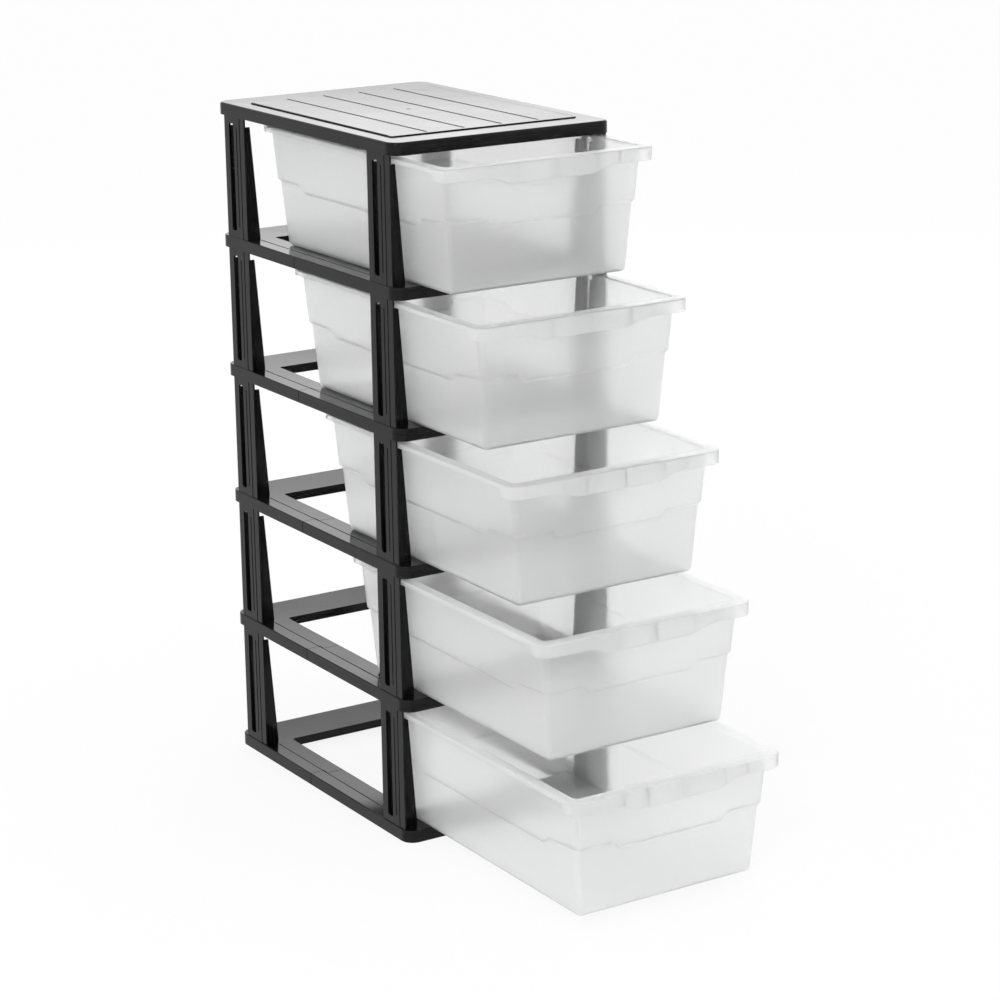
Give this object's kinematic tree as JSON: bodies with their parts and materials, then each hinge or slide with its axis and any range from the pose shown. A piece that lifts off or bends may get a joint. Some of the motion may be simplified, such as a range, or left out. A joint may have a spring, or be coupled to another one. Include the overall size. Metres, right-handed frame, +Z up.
{
  "type": "plastic drawer tower",
  "caption": "Tall black plastic tower of open shelf rings on slotted corner posts, with a planked top and translucent drawers that slide out.",
  "frame": {"origin": "middle of the base ring's footprint on the floor", "axes": "+Z up, +X towards the viewer's right when facing the drawers, and the drawers pull out towards -Y"},
  "size_m": [0.28, 0.73, 0.7902],
  "materials": {
    "frame_plastic": "polished black moulding",
    "drawer_plastic": "frosted translucent moulding"
  },
  "bodies": {
    "frame": {"top_panel": "frame_plastic", "base_front_half": "frame_plastic", "base_rear_half": "frame_plastic", "shelf_1_front_half": "frame_plastic", "shelf_1_rear_half": "frame_plastic", "shelf_2_front_half": "frame_plastic", "shelf_2_rear_half": "frame_plastic", "shelf_3_front_half": "frame_plastic", "shelf_3_rear_half": "frame_plastic", "shelf_4_front_half": "frame_plastic", "shelf_4_rear_half": "frame_plastic", "post_1_front_left": "frame_plastic", "post_1_front_right": "frame_plastic", "post_1_rear_left": "frame_plastic", "post_1_rear_right": "frame_plastic", "post_2_front_left": "frame_plastic", "post_2_front_right": "frame_plastic", "post_2_rear_left": "frame_plastic", "post_2_rear_right": "frame_plastic", "post_3_front_left": "frame_plastic", "post_3_front_right": "frame_plastic", "post_3_rear_left": "frame_plastic", "post_3_rear_right": "frame_plastic", "post_4_front_left": "frame_plastic", "post_4_front_right": "frame_plastic", "post_4_rear_left": "frame_plastic", "post_4_rear_right": "frame_plastic", "post_5_front_left": "frame_plastic", "post_5_front_right": "frame_plastic", "post_5_rear_left": "frame_plastic", "post_5_rear_right": "frame_plastic"},
    "drawer_1": {"drawer_1": "drawer_plastic"},
    "drawer_2": {"drawer_2": "drawer_plastic"},
    "drawer_3": {"drawer_3": "drawer_plastic"},
    "drawer_4": {"drawer_4": "drawer_plastic"},
    "drawer_5": {"drawer_5": "drawer_plastic"}
  },
  "joints": [
    {"name": "drawer_1_slide", "type": "slide", "parent": "frame", "child": "drawer_1", "axis": [0, -1, 0], "range_m": [-0.324, 0.041]},
    {"name": "drawer_2_slide", "type": "slide", "parent": "frame", "child": "drawer_2", "axis": [0, -1, 0], "range_m": [-0.269, 0.096]},
    {"name": "drawer_3_slide", "type": "slide", "parent": "frame", "child": "drawer_3", "axis": [0, -1, 0], "range_m": [-0.214, 0.151]},
    {"name": "drawer_4_slide", "type": "slide", "parent": "frame", "child": "drawer_4", "axis": [0, -1, 0], "range_m": [-0.153, 0.212]},
    {"name": "drawer_5_slide", "type": "slide", "parent": "frame", "child": "drawer_5", "axis": [0, -1, 0], "range_m": [-0.09, 0.275]}
  ]
}
